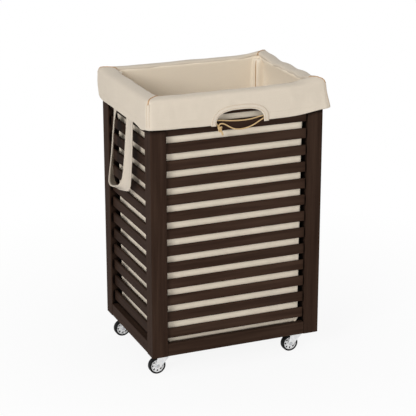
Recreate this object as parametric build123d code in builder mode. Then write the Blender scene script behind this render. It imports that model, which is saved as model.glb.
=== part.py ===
from build123d import *

import os
from math import cos, radians, sin, tan

os.makedirs("parts", exist_ok=True)

# A rolling laundry hamper: a slatted wooden frame on four swivel casters, with a canvas liner
# that folds over the rim. Millimetres, +Z up, front towards -Y, floor at Z = 0, frame centred.

# Wooden frame
frame_width = 420.0
frame_depth = 320.0
frame_bottom = 55.0
post_size = 38.0
post_height = 604.0
post_edge_radius = 2.5
slat_height = 23.8
slat_thickness = 6.0
slat_pitch = 40.0
slat_recess = 8.5
slat_edge_radius = 1.5
first_slat_height = 41.1
tenon_length = 9.0
rail_thickness = 15.0
rail_recess = 0.5
rail_edge_radius = 1.5
top_rail_height = 43.0
bottom_rail_height = 30.0
dowel_diameter = 8.0
dowel_length = 32.0
dowel_spacing = 16.0
dowel_chamfer = 0.8
batten_width = 90.0
batten_thickness = 18.0
panel_thickness = 8.0
base_screw_length = 19.0
base_screw_diameter = 3.5
base_screw_head = 7.0
base_screw_angle = 90.0
base_screw_inset = 20.0
base_screw_spacing = 150.0

# Casters
caster_inset = 40.0
caster_heading = 180.0
caster_trail = 16.0
wheel_diameter = 40.0
tyre_thickness = 4.5
tyre_width = 13.0
tyre_edge_radius = 1.6
hub_width = 12.0
hub_rim_thickness = 1.4
hub_web_thickness = 9.0
hub_hole_count = 8
hub_hole_diameter = 4.8
hub_hole_circle = 23.0
boss_diameter = 11.0
boss_width = 15.0
axle_diameter = 6.0
axle_head_diameter = 9.5
axle_head_thickness = 1.0
axle_head_taper = 25.0
fork_thickness = 2.0
fork_eye_diameter = 13.0
fork_crown_diameter = 32.0
fork_crown_length = 31.0
wheel_top_room = 4.0
kingpin_diameter = 8.0
kingpin_head_diameter = 15.0
kingpin_head_thickness = 2.0
kingpin_head_taper = 20.0
plate_length = 46.0
plate_width = 36.0
plate_thickness = 2.0
plate_corner_radius = 4.0
plate_hole_length = 34.0
plate_hole_width = 25.0
ball_diameter = 3.0
ball_count = 10
ball_circle = 18.0
race_wall = 1.8
plate_screw_diameter = 3.4
plate_screw_length = 14.0
plate_screw_head_diameter = 7.0
plate_screw_head_thickness = 2.2
plate_screw_head_taper = 20.0

# Canvas liner
canvas_thickness = 1.6
rim_thickness = 4.0
cuff_reach = 11.0
cuff_drop = 66.0
tunnel_width = 8.4
tunnel_height = 15.0
notch_width = 118.0
notch_height = 31.0
facing_width = 11.0
facing_thickness = 1.0
strap_width = 40.0
strap_spacing = 104.0
strap_drop = 172.0
strap_thickness = 2.4

# Drawstring
cord_diameter = 3.0
knot_diameter = 9.0
hem_run_start = 72.0
hem_run_height = 9.0
bend_share = 0.45

# Clearances
joint_gap = 0.1
hole_end_gap = 1.0
press_gap = 0.05
running_gap = 0.1
race_gap = 0.15
washer_gap = 0.5
kingpin_head_gap = 0.2
skirt_gap = 0.6
screw_hole_gap = 0.3
bag_clearance = 0.7
rest_gap = 0.3
strap_gap = 0.8
seam_gap = 0.1

# Heights and faces that follow from the sizes above
frame_top = frame_bottom + post_height
top_rail_bottom = frame_top - top_rail_height
opening_width = frame_width - 2 * post_size
opening_depth = frame_depth - 2 * post_size
slat_span = top_rail_bottom - frame_bottom - first_slat_height - slat_height
slat_count = int(slat_span // slat_pitch) + 1
first_slat_middle = frame_bottom + first_slat_height + slat_height / 2
slat_heights = [first_slat_middle + i * slat_pitch for i in range(slat_count)]
slat_inset = slat_recess + slat_thickness / 2
rail_inset = rail_recess + rail_thickness / 2
top_rail_middle = frame_top - top_rail_height / 2
bottom_rail_middle = frame_bottom + bottom_rail_height / 2
dowel_heights = [
    top_rail_middle - dowel_spacing / 2,
    top_rail_middle + dowel_spacing / 2,
    bottom_rail_middle - dowel_spacing / 2,
    bottom_rail_middle + dowel_spacing / 2,
]
inner_width = frame_width - 2 * (rail_recess + rail_thickness)
inner_depth = frame_depth - 2 * (rail_recess + rail_thickness)
panel_bottom = frame_bottom + batten_thickness
panel_top = panel_bottom + panel_thickness
base_screw_row = inner_width / 2 - batten_width + base_screw_inset

wheel_radius = wheel_diameter / 2
hub_radius = wheel_radius - tyre_thickness
plate_bottom = frame_bottom - plate_thickness
crown_bottom = wheel_diameter + wheel_top_room
crown_top = crown_bottom + fork_thickness
race_bottom = crown_top + ball_diameter + 2 * race_gap
leg_inner = boss_width / 2 + washer_gap
leg_outer = leg_inner + fork_thickness

rim_bottom = frame_top + rest_gap
rim_top = rim_bottom + rim_thickness
hem = rim_top - cuff_drop
cuff_half_width = frame_width / 2 + cuff_reach
cuff_half_depth = frame_depth / 2 + cuff_reach
cuff_corner_radius = post_edge_radius + cuff_reach
bag_bottom = panel_top + rest_gap
bag_reach_x = inner_width / 2 - bag_clearance
bag_reach_y = inner_depth / 2 - bag_clearance
bag_arm_x = opening_width / 2 - bag_clearance
bag_arm_y = opening_depth / 2 - bag_clearance
tunnel_middle_x = cuff_half_width - tunnel_width / 2
tunnel_middle_y = cuff_half_depth - tunnel_width / 2
notch_plane = Plane(origin=(0, -cuff_half_depth, hem), x_dir=(1, 0, 0), z_dir=(0, -1, 0))

corners = {"fl": (-1, -1), "fr": (1, -1), "rl": (-1, 1), "rr": (1, 1)}


def save(builder, name):
    """Label a finished piece and write it to its own file."""
    builder.part.label = name
    export_step(builder.part, f"parts/{name}.step")


def facing_x(side, inset, half_gap):
    """Upright plane across X, looking outwards, with its own X axis pointing up."""
    return Plane(origin=(side * half_gap, inset, 0), x_dir=(0, 0, 1), z_dir=(side, 0, 0))


def facing_y(side, inset, half_gap):
    """Upright plane across Y, looking outwards, with its own X axis pointing up."""
    return Plane(origin=(inset, side * half_gap, 0), x_dir=(0, 0, 1), z_dir=(0, side, 0))


def caster_center(corner):
    """Where the swivel axis of one corner's caster stands."""
    side_x, side_y = corners[corner]
    return side_x * (frame_width / 2 - caster_inset), side_y * (frame_depth / 2 - caster_inset)


def plate_plane(corner, height):
    """Level plane on a caster's swivel axis, square to the frame."""
    center_x, center_y = caster_center(corner)
    return Plane(origin=(center_x, center_y, height))


def fork_plane(corner, height):
    """Level plane on a caster's swivel axis, with its X axis along the trail."""
    center_x, center_y = caster_center(corner)
    trail = (cos(radians(caster_heading)), sin(radians(caster_heading)), 0)
    return Plane(origin=(center_x, center_y, height), x_dir=trail)


def wheel_plane(corner, sideways):
    """Upright plane square to a caster's axle, with its X axis along the trail and Y up."""
    level = fork_plane(corner, wheel_radius)
    origin = level.origin + level.x_dir * caster_trail - level.y_dir * sideways
    return Plane(origin=origin, x_dir=level.x_dir, z_dir=-level.y_dir)


def make_post(corner):
    """Corner post, with mortises for slats, holes for rail dowels and for one plate screw."""
    side_x, side_y = corners[corner]
    center = (side_x * (frame_width - post_size) / 2, side_y * (frame_depth - post_size) / 2)
    faces_slats = [
        facing_x(side_x, side_y * (frame_depth / 2 - slat_inset), opening_width / 2),
        facing_y(side_y, side_x * (frame_width / 2 - slat_inset), opening_depth / 2),
    ]
    faces_rails = [
        facing_x(side_x, side_y * (frame_depth / 2 - rail_inset), opening_width / 2),
        facing_y(side_y, side_x * (frame_width / 2 - rail_inset), opening_depth / 2),
    ]
    with BuildPart() as post:
        with BuildSketch(Plane.XY.offset(frame_bottom)):
            with Locations(center):
                RectangleRounded(post_size, post_size, post_edge_radius)
        extrude(amount=post_height)
        for face in faces_slats:
            with BuildSketch(face):
                with Locations([(height, 0) for height in slat_heights]):
                    Rectangle(slat_height + 2 * joint_gap, slat_thickness + 2 * joint_gap)
            extrude(amount=tenon_length + hole_end_gap, mode=Mode.SUBTRACT)
        for face in faces_rails:
            with BuildSketch(face):
                with Locations([(height, 0) for height in dowel_heights]):
                    Circle(dowel_diameter / 2 + joint_gap)
            extrude(amount=dowel_length / 2 + hole_end_gap, mode=Mode.SUBTRACT)
        with BuildSketch(plate_plane(corner, frame_bottom)):
            with GridLocations(plate_hole_length, plate_hole_width, 2, 2):
                Circle(plate_screw_diameter / 2 + joint_gap)
        extrude(amount=plate_screw_length + hole_end_gap, mode=Mode.SUBTRACT)
    save(post, f"post_{corner}")


def make_slats(name, side, along_x):
    """All the slats of one side, each with its ends let into the posts."""
    if along_x:
        length = opening_width + 2 * tenon_length
        start = facing_x(1, side * (frame_depth / 2 - slat_inset), -length / 2)
    else:
        length = opening_depth + 2 * tenon_length
        start = facing_y(1, side * (frame_width / 2 - slat_inset), -length / 2)
    with BuildPart() as slats:
        with BuildSketch(start):
            with Locations([(height, 0) for height in slat_heights]):
                RectangleRounded(slat_height, slat_thickness, slat_edge_radius)
        extrude(amount=length)
    save(slats, name)


def make_rail(name, side, along_x, middle, height):
    """A rail between two posts, bored at both ends for its dowels."""
    if along_x:
        length = opening_width - 2 * joint_gap
        start = facing_x(1, side * (frame_depth / 2 - rail_inset), -length / 2)
    else:
        length = opening_depth - 2 * joint_gap
        start = facing_y(1, side * (frame_width / 2 - rail_inset), -length / 2)
    depth = dowel_length / 2 + hole_end_gap
    with BuildPart() as rail:
        with BuildSketch(start):
            with Locations((middle, 0)):
                RectangleRounded(height, rail_thickness, rail_edge_radius)
        extrude(amount=length)
        with BuildSketch(start, start.offset(length - depth)):
            with Locations((middle - dowel_spacing / 2, 0), (middle + dowel_spacing / 2, 0)):
                Circle(dowel_diameter / 2 + joint_gap)
        extrude(amount=depth, mode=Mode.SUBTRACT)
    save(rail, name)


def make_dowels():
    """The beech dowels that join every rail end to its post."""
    starts = []
    for side_x, side_y in corners.values():
        reach_x = opening_width / 2 - dowel_length / 2
        reach_y = opening_depth / 2 - dowel_length / 2
        starts.append(facing_x(side_x, side_y * (frame_depth / 2 - rail_inset), reach_x))
        starts.append(facing_y(side_y, side_x * (frame_width / 2 - rail_inset), reach_y))
    with BuildPart() as dowels:
        for start in starts:
            with BuildSketch(start):
                with Locations([(height, 0) for height in dowel_heights]):
                    Circle(dowel_diameter / 2)
            extrude(amount=dowel_length)
        chamfer(dowels.edges().filter_by(GeomType.CIRCLE), dowel_chamfer)
    save(dowels, "rail_dowels")


def posts_plan(height):
    """Level plan of the four corner posts with their fitting gap."""
    with BuildSketch(Plane.XY.offset(height)) as plan:
        with GridLocations(frame_width - post_size, frame_depth - post_size, 2, 2):
            Rectangle(post_size + 2 * joint_gap, post_size + 2 * joint_gap)
    return plan.sketch


def make_battens():
    """Two wide boards under the base panel that take the caster screws."""
    with BuildPart() as battens:
        with BuildSketch(Plane.XY.offset(frame_bottom)):
            with GridLocations(inner_width - batten_width - 2 * joint_gap, 0, 2, 1):
                Rectangle(batten_width, inner_depth - 2 * joint_gap)
        extrude(amount=batten_thickness)
        extrude(posts_plan(frame_bottom), amount=batten_thickness, mode=Mode.SUBTRACT)
        for corner in corners:
            with BuildSketch(plate_plane(corner, frame_bottom)):
                with GridLocations(plate_hole_length, plate_hole_width, 2, 2):
                    Circle(plate_screw_diameter / 2 + joint_gap)
            extrude(amount=plate_screw_length + hole_end_gap, mode=Mode.SUBTRACT)
        with BuildSketch(Plane.XY.offset(panel_bottom)):
            with GridLocations(2 * base_screw_row, base_screw_spacing, 2, 2):
                Circle(base_screw_diameter / 2 + joint_gap)
        extrude(amount=panel_thickness - base_screw_length - hole_end_gap, mode=Mode.SUBTRACT)
    save(battens, "base_battens")


def make_base_panel():
    """The floor board that the bag stands on, notched round the posts."""
    with BuildPart() as panel:
        with BuildSketch(Plane.XY.offset(panel_bottom)):
            Rectangle(inner_width - 2 * joint_gap, inner_depth - 2 * joint_gap)
        extrude(amount=panel_thickness)
        extrude(posts_plan(panel_bottom), amount=panel_thickness, mode=Mode.SUBTRACT)
        with Locations(Plane.XY.offset(panel_top)):
            with GridLocations(2 * base_screw_row, base_screw_spacing, 2, 2):
                CounterSinkHole(
                    radius=base_screw_diameter / 2 + joint_gap,
                    counter_sink_radius=base_screw_head / 2 + joint_gap,
                    counter_sink_angle=base_screw_angle,
                )
    save(panel, "base_panel")


def make_base_screws():
    """Countersunk screws that hold the base panel to its battens."""
    head_depth = (base_screw_head - base_screw_diameter) / 2
    with BuildPart() as screws:
        with BuildSketch(Plane.XY.offset(panel_top)):
            with GridLocations(2 * base_screw_row, base_screw_spacing, 2, 2):
                Circle(base_screw_diameter / 2)
        extrude(amount=-base_screw_length)
        with Locations(Plane.XY.offset(panel_top - head_depth / 2)):
            with GridLocations(2 * base_screw_row, base_screw_spacing, 2, 2):
                Cone(base_screw_diameter / 2, base_screw_head / 2, head_depth)
    save(screws, "base_screws")


def make_plate(corner):
    """Caster top plate with the upper half of the ball race pressed into it."""
    race_radius = (ball_circle + ball_diameter) / 2 + race_gap
    with BuildPart() as plate:
        with BuildSketch(plate_plane(corner, plate_bottom)):
            RectangleRounded(plate_length, plate_width, plate_corner_radius)
            with GridLocations(plate_hole_length, plate_hole_width, 2, 2):
                Circle(plate_screw_diameter / 2 + screw_hole_gap, mode=Mode.SUBTRACT)
        extrude(amount=plate_thickness)
        with BuildSketch(plate_plane(corner, race_bottom)):
            Circle(race_radius + race_wall)
        extrude(amount=plate_bottom - race_bottom)
        with BuildSketch(plate_plane(corner, crown_top + skirt_gap)):
            Circle(race_radius + race_wall)
            Circle(race_radius, mode=Mode.SUBTRACT)
        extrude(amount=race_bottom - crown_top - skirt_gap)
        with BuildSketch(plate_plane(corner, race_bottom)):
            Circle(kingpin_diameter / 2 + press_gap)
        extrude(amount=frame_bottom - race_bottom, mode=Mode.SUBTRACT)
    save(plate, f"caster_{corner}_plate")


def make_kingpin(corner):
    """Rivet that the fork turns on."""
    head_top = crown_bottom - kingpin_head_gap
    with BuildPart() as kingpin:
        with BuildSketch(plate_plane(corner, head_top)):
            Circle(kingpin_diameter / 2)
        extrude(amount=frame_bottom - head_top)
        with BuildSketch(plate_plane(corner, head_top)):
            Circle(kingpin_head_diameter / 2)
        extrude(amount=-kingpin_head_thickness, taper=kingpin_head_taper)
    save(kingpin, f"caster_{corner}_kingpin")


def make_fork(corner):
    """Pressed fork: a round crown with two legs that narrow to the axle."""
    back = (fork_crown_diameter - fork_crown_length) / 2
    with BuildPart() as fork:
        with BuildSketch(fork_plane(corner, crown_bottom)):
            Circle(fork_crown_diameter / 2)
            with Locations((back, 0)):
                Rectangle(fork_crown_length, 2 * leg_outer)
        extrude(amount=fork_thickness)
        for start in (-leg_outer, leg_inner):
            with BuildSketch(wheel_plane(corner, start)):
                Circle(fork_eye_diameter / 2)
                with Locations((back - caster_trail, crown_bottom + fork_thickness / 2 - wheel_radius)):
                    Rectangle(fork_crown_length, fork_thickness)
                make_hull()
            extrude(amount=fork_thickness)
        with BuildSketch(wheel_plane(corner, 0)):
            Circle(axle_diameter / 2 + press_gap)
        extrude(amount=leg_outer, both=True, mode=Mode.SUBTRACT)
        with BuildSketch(plate_plane(corner, crown_bottom)):
            Circle(kingpin_diameter / 2 + running_gap)
        extrude(amount=fork_thickness, mode=Mode.SUBTRACT)
    save(fork, f"caster_{corner}_fork")


def make_axle(corner):
    """Riveted axle through the fork legs and the hub."""
    with BuildPart() as axle:
        with BuildSketch(wheel_plane(corner, 0)):
            Circle(axle_diameter / 2)
        extrude(amount=leg_outer, both=True)
        with BuildSketch(wheel_plane(corner, leg_outer)):
            Circle(axle_head_diameter / 2)
        extrude(amount=axle_head_thickness, taper=axle_head_taper)
        with BuildSketch(wheel_plane(corner, -leg_outer)):
            Circle(axle_head_diameter / 2)
        extrude(amount=-axle_head_thickness, taper=axle_head_taper)
    save(axle, f"caster_{corner}_axle")


def make_hub(corner):
    """Moulded hub: rim, holed web and boss."""
    with BuildPart() as hub:
        with BuildSketch(wheel_plane(corner, 0)):
            Circle(hub_radius)
        extrude(amount=hub_width / 2, both=True)
        for start in (-hub_width / 2, hub_web_thickness / 2):
            with BuildSketch(wheel_plane(corner, start)):
                Circle(hub_radius - hub_rim_thickness)
            extrude(amount=(hub_width - hub_web_thickness) / 2, mode=Mode.SUBTRACT)
        with BuildSketch(wheel_plane(corner, 0)):
            Circle(boss_diameter / 2)
        extrude(amount=boss_width / 2, both=True)
        with BuildSketch(wheel_plane(corner, 0)):
            Circle(axle_diameter / 2 + running_gap)
            with PolarLocations(hub_hole_circle / 2, hub_hole_count):
                Circle(hub_hole_diameter / 2)
        extrude(amount=boss_width / 2, both=True, mode=Mode.SUBTRACT)
    save(hub, f"caster_{corner}_hub")


def make_tyre(corner):
    """Rubber tyre with a rounded tread."""
    with BuildPart() as tyre:
        with BuildSketch(wheel_plane(corner, 0)):
            Circle(wheel_radius)
        extrude(amount=tyre_width / 2, both=True)
        fillet(tyre.edges().filter_by(GeomType.CIRCLE), tyre_edge_radius)
        with BuildSketch(wheel_plane(corner, 0)):
            Circle(hub_radius + press_gap)
        extrude(amount=tyre_width / 2, both=True, mode=Mode.SUBTRACT)
    save(tyre, f"caster_{corner}_tyre")


def make_balls():
    """The balls of all four swivel races."""
    with BuildPart() as balls:
        for corner in corners:
            with Locations(plate_plane(corner, crown_top + race_gap + ball_diameter / 2)):
                with PolarLocations(ball_circle / 2, ball_count):
                    Sphere(ball_diameter / 2)
    save(balls, "caster_balls")


def make_plate_screws():
    """The pan-head screws of all four caster plates."""
    with BuildPart() as screws:
        for corner in corners:
            with BuildSketch(plate_plane(corner, plate_bottom)):
                with GridLocations(plate_hole_length, plate_hole_width, 2, 2):
                    Circle(plate_screw_diameter / 2)
            extrude(amount=plate_thickness + plate_screw_length)
            with BuildSketch(plate_plane(corner, plate_bottom)):
                with GridLocations(plate_hole_length, plate_hole_width, 2, 2):
                    Circle(plate_screw_head_diameter / 2)
            extrude(amount=-plate_screw_head_thickness, taper=plate_screw_head_taper)
    save(screws, "caster_screws")


def bag_plan(inset, height):
    """Level plan of the bag: out to the rails between the posts, and drawn in round each post."""
    with BuildSketch(Plane.XY.offset(height)) as plan:
        Rectangle(2 * (bag_reach_x - inset), 2 * (bag_arm_y - inset))
        Rectangle(2 * (bag_arm_x - inset), 2 * (bag_reach_y - inset))
    return plan.sketch


def make_bag():
    """The hanging bag: wall panels and a floor panel, sewn edge to edge, open at the top."""
    half_canvas = canvas_thickness / 2
    tuck_x = bag_reach_x - bag_arm_x - seam_gap
    tuck_y = bag_reach_y - bag_arm_y - canvas_thickness - 2 * seam_gap
    tuck_middle_x = bag_arm_x - canvas_thickness + tuck_x / 2
    tuck_middle_y = bag_arm_y + seam_gap + tuck_y / 2
    with BuildPart() as bag:
        with BuildSketch(Plane.XY.offset(bag_bottom)):
            with GridLocations(0, 2 * (bag_reach_y - half_canvas), 1, 2):
                Rectangle(2 * bag_arm_x, canvas_thickness)
            with GridLocations(2 * (bag_reach_x - half_canvas), 0, 2, 1):
                Rectangle(canvas_thickness, 2 * bag_arm_y)
            with GridLocations(2 * (bag_arm_x - half_canvas), 2 * tuck_middle_y, 2, 2):
                Rectangle(canvas_thickness, tuck_y)
            with GridLocations(2 * tuck_middle_x, 2 * (bag_arm_y - half_canvas), 2, 2):
                Rectangle(tuck_x, canvas_thickness)
        extrude(amount=rim_bottom - bag_bottom)
        extrude(bag_plan(canvas_thickness + seam_gap, bag_bottom), amount=canvas_thickness)
    save(bag, "liner_bag")


def cuff_plan(inset, height):
    """Level plan of the cuff, drawn in from its outer face."""
    with BuildSketch(Plane.XY.offset(height)) as plan:
        RectangleRounded(
            2 * (cuff_half_width - inset),
            2 * (cuff_half_depth - inset),
            cuff_corner_radius - inset,
        )
    return plan.sketch


def tunnel_plan(height):
    """Level plan of the hollow drawstring tunnel."""
    near = canvas_thickness
    far = tunnel_width - canvas_thickness
    with BuildSketch(Plane.XY.offset(height)) as plan:
        RectangleRounded(
            2 * (cuff_half_width - near),
            2 * (cuff_half_depth - near),
            cuff_corner_radius - near,
        )
        RectangleRounded(
            2 * (cuff_half_width - far),
            2 * (cuff_half_depth - far),
            cuff_corner_radius - far,
            mode=Mode.SUBTRACT,
        )
    return plan.sketch


def make_cuff(name, side_x, side_y):
    """One side of the turned-over cuff, mitred at the corners, with a drawstring tunnel at its hem."""
    tunnel_floor = hem + canvas_thickness
    tunnel_top = hem + tunnel_height
    if side_x:
        apex = (side_x * (cuff_half_width - cuff_half_depth), 0)
        far = [(side_x * cuff_half_width, -cuff_half_depth), (side_x * cuff_half_width, cuff_half_depth)]
    else:
        apex = (0, side_y * (cuff_half_depth - cuff_half_width))
        far = [(-cuff_half_width, side_y * cuff_half_depth), (cuff_half_width, side_y * cuff_half_depth)]
    with BuildPart() as cuff:
        extrude(cuff_plan(0, hem), amount=cuff_drop)
        extrude(cuff_plan(canvas_thickness, tunnel_top), amount=rim_bottom - tunnel_top, mode=Mode.SUBTRACT)
        extrude(cuff_plan(tunnel_width, hem), amount=tunnel_height, mode=Mode.SUBTRACT)
        extrude(bag_plan(canvas_thickness, rim_bottom), amount=rim_thickness, mode=Mode.SUBTRACT)
        extrude(tunnel_plan(tunnel_floor), amount=tunnel_height - 2 * canvas_thickness, mode=Mode.SUBTRACT)
        if side_y < 0:
            with BuildSketch(notch_plane):
                Ellipse(notch_width / 2, notch_height)
            extrude(amount=-tunnel_width, mode=Mode.SUBTRACT)
        with BuildSketch(Plane.XY.offset(hem)):
            with BuildLine():
                Polyline(apex, far[0], far[1], close=True)
            make_face()
        extrude(amount=cuff_drop, mode=Mode.INTERSECT)
    save(cuff, name)


def make_notch_facing():
    """The stitched facing round the drawstring notch."""
    outer_height = notch_height + facing_width
    with BuildPart() as facing:
        with BuildSketch(notch_plane):
            Ellipse(notch_width / 2 + facing_width, outer_height)
            Ellipse(notch_width / 2, notch_height, mode=Mode.SUBTRACT)
            with Locations((0, -outer_height)):
                Rectangle(notch_width + 4 * facing_width, 2 * outer_height, mode=Mode.SUBTRACT)
        extrude(amount=facing_thickness)
    save(facing, "notch_facing")


def make_strap(name, side):
    """A carry strap: a webbing loop that hangs from the hem of one end."""
    outer = (strap_spacing + strap_width) / 2
    inner = (strap_spacing - strap_width) / 2
    turn = outer - strap_drop
    face = cuff_half_width + strap_gap
    with BuildPart() as strap:
        with BuildSketch(Plane(origin=(side * face, 0, hem), x_dir=(0, side, 0), z_dir=(side, 0, 0))):
            with BuildLine():
                Line((-outer, 0), (-outer, turn))
                ThreePointArc((-outer, turn), (0, turn - outer), (outer, turn))
                Line((outer, turn), (outer, 0))
                Line((outer, 0), (inner, 0))
                Line((inner, 0), (inner, turn))
                ThreePointArc((inner, turn), (0, turn - inner), (-inner, turn))
                Line((-inner, turn), (-inner, 0))
                Line((-inner, 0), (-outer, 0))
            make_face()
        extrude(amount=strap_thickness)
    save(strap, name)


def bend_radii(points):
    """Largest even arc that each corner of a cord's route leaves room for."""
    radii = []
    for before, corner, after in zip(points, points[1:], points[2:]):
        run_in = Vector(*corner) - Vector(*before)
        run_out = Vector(*after) - Vector(*corner)
        half_turn = radians(run_in.get_angle(run_out)) / 2
        radii.append(bend_share * min(run_in.length, run_out.length) / tan(half_turn))
    return radii


def make_cord(name, points, radii):
    """A round cord along straight runs joined by tangent arcs."""
    start = Vector(*points[0])
    with BuildPart() as cord:
        with BuildLine():
            route = FilletPolyline(*points, radius=radii)
        with BuildSketch(Plane(origin=start, z_dir=Vector(*points[1]) - start)):
            Circle(cord_diameter / 2)
        sweep()
    print(name, "radii", [round(radius, 1) for radius in radii], "length", round(route.length, 1))
    save(cord, name)


def in_notch(route):
    """Route points given as X, depth from the tunnel's middle and height from the hem."""
    return [(x, -tunnel_middle_y + depth, hem + height) for x, depth, height in route]


for corner in corners:
    make_post(corner)
    make_plate(corner)
    make_kingpin(corner)
    make_fork(corner)
    make_axle(corner)
    make_hub(corner)
    make_tyre(corner)

sides = {"front": (0, -1), "rear": (0, 1), "left": (-1, 0), "right": (1, 0)}
for side_name, (side_x, side_y) in sides.items():
    along_x = side_x == 0
    side = side_x + side_y
    make_slats(f"slats_{side_name}", side, along_x)
    make_rail(f"top_rail_{side_name}", side, along_x, top_rail_middle, top_rail_height)
    make_rail(f"bottom_rail_{side_name}", side, along_x, bottom_rail_middle, bottom_rail_height)
    make_cuff(f"cuff_{side_name}", side_x, side_y)

make_dowels()
make_battens()
make_base_panel()
make_base_screws()
make_balls()
make_plate_screws()
make_bag()
make_notch_facing()
make_strap("strap_left", -1)
make_strap("strap_right", 1)

# The drawstring crosses the notch once, hangs below the hem in a slack loop and is knotted
strand_route = in_notch([
    (-hem_run_start, 0.0, hem_run_height),
    (-55.0, 0.0, hem_run_height),
    (-27.0, -0.5, 5.0),
    (3.0, -0.7, 2.6),
    (30.0, -0.5, 3.6),
    (55.0, 0.0, hem_run_height),
    (hem_run_start, 0.0, hem_run_height),
])
loop_route = in_notch([
    (76.0, -0.6, 5.2),
    (62.0, -0.8, 5.0),
    (49.0, -1.4, -1.4),
    (36.0, -2.0, -8.6),
    (21.0, -2.6, -14.0),
    (4.0, -3.0, -16.6),
    (-12.0, -3.0, -15.4),
    (-24.5, -2.8, -9.6),
    (-34.0, -2.6, -3.2),
    (-42.0, -2.4, 0.6),
    (-49.5, -2.2, 0.4),
    (-52.5, -2.0, -5.6),
    (-48.5, -1.8, -11.0),
])
tail_route = in_notch([
    (-78.0, 1.0, 5.0),
    (-67.0, 1.0, 5.2),
    (-57.0, 0.9, 3.8),
    (-53.5, 0.9, -3.8),
    (-50.2, 0.4, -9.0),
    (-46.5, -0.8, -13.6),
    (-43.4, -1.4, -19.8),
    (-41.8, -1.6, -26.2),
])
hem_height = hem + hem_run_height
hem_route = [
    (-hem_run_start, -tunnel_middle_y, hem_height),
    (-tunnel_middle_x, -tunnel_middle_y, hem_height),
    (-tunnel_middle_x, tunnel_middle_y, hem_height),
    (tunnel_middle_x, tunnel_middle_y, hem_height),
    (tunnel_middle_x, -tunnel_middle_y, hem_height),
    (hem_run_start, -tunnel_middle_y, hem_height),
]
make_cord("drawstring_strand", strand_route, bend_radii(strand_route))
make_cord("drawstring_loop", loop_route, bend_radii(loop_route))
make_cord("drawstring_tail", tail_route, bend_radii(tail_route))
make_cord("drawstring_hem_run", hem_route, [cuff_corner_radius - tunnel_width / 2] * 4)

with BuildPart() as knot:
    with Locations(loop_route[-1]):
        Sphere(knot_diameter / 2)
save(knot, "drawstring_knot")
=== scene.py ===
"""Finish and soft parts of a rolling slatted laundry hamper with a folded canvas liner."""

import math

import bpy
import numpy as np
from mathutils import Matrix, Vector, noise


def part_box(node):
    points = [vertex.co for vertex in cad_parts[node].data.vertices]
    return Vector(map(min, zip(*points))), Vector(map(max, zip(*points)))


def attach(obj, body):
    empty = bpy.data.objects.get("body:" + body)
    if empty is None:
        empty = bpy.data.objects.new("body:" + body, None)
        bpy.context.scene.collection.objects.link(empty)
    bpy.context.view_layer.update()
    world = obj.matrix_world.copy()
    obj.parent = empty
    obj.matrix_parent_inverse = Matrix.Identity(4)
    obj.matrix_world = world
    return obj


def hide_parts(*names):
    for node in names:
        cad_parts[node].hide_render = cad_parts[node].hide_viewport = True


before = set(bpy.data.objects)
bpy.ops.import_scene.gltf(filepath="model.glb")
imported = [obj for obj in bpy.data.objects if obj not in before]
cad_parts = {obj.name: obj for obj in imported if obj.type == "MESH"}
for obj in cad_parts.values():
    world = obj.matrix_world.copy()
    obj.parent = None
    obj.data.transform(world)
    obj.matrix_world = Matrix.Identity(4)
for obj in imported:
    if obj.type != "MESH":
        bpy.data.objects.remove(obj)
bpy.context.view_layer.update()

MM = 0.001

# Sizes taken from the frame, in metres
post_low, post_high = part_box("post_fr")
half_width = post_high.x
half_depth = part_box("post_rr")[1].y
frame_top = post_high.z
post_width = post_high.x - post_low.x
cuff_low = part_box("cuff_left")[0]
cuff_reach = -cuff_low.x - half_width
hem_height = cuff_low.z
cuff_drop = frame_top - hem_height
bag_low, bag_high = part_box("liner_bag")
wall_x = bag_high.x
wall_y = bag_high.y
bag_floor = bag_low.z

# Canvas, cord and webbing
canvas_thickness = 1.4 * MM
mouth_inset_y = 19.5 * MM
mouth_inset_x = 26 * MM
post_edge_radius = 2.5 * MM
mouth_corner_radius = 6 * MM
strap_width = 40 * MM

# Camera fitted to the photograph's outline
camera_azimuth = math.radians(-22.62)
camera_elevation = math.radians(18.6)
camera_distance = 3.6
camera_target = Vector((-0.007, 0, 0.344))
camera_lens_mm = 131.6
camera_sensor_mm = 36


def srgb(red, green, blue):
    """Linear colour of an 8-bit display colour."""
    def linear(value):
        share = value / 255
        if share <= 0.04045:
            return share / 12.92
        return ((share + 0.055) / 1.055) ** 2.4
    return (linear(red), linear(green), linear(blue), 1)


# Shader helpers


def put(tree, socket, value):
    if isinstance(value, bpy.types.NodeSocket):
        tree.links.new(value, socket)
    else:
        socket.default_value = value


def fill(tree, node, **sockets):
    """Sets sockets to values or other nodes' outputs, with _ for a space in their names."""
    for name, value in sockets.items():
        put(tree, node.inputs[name.replace("_", " ")], value)


def add_node(tree, kind, settings=None, **sockets):
    made = tree.nodes.new(kind)
    for name, value in (settings or {}).items():
        setattr(made, name, value)
    fill(tree, made, **sockets)
    return made


def new_material(name, **sockets):
    """A material, its node tree and its surface shader."""
    made = bpy.data.materials.new(name)
    made.use_nodes = True
    shader = made.node_tree.nodes["Principled BSDF"]
    fill(made.node_tree, shader, **sockets)
    return made, made.node_tree, shader


def math_node(tree, operation, first, second=0.0):
    made = tree.nodes.new("ShaderNodeMath")
    made.operation = operation
    put(tree, made.inputs[0], first)
    put(tree, made.inputs[1], second)
    return made.outputs[0]


def times(tree, first, second):
    return math_node(tree, "MULTIPLY", first, second)


def mix_colour(tree, share, first, second, blend="MIX"):
    made = tree.nodes.new("ShaderNodeMix")
    made.data_type = "RGBA"
    made.blend_type = blend
    put(tree, made.inputs[0], share)
    put(tree, made.inputs[6], first)
    put(tree, made.inputs[7], second)
    return made.outputs[2]


def tint(tree, colour, shade):
    return mix_colour(tree, 1.0, colour, shade, "MULTIPLY")


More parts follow.
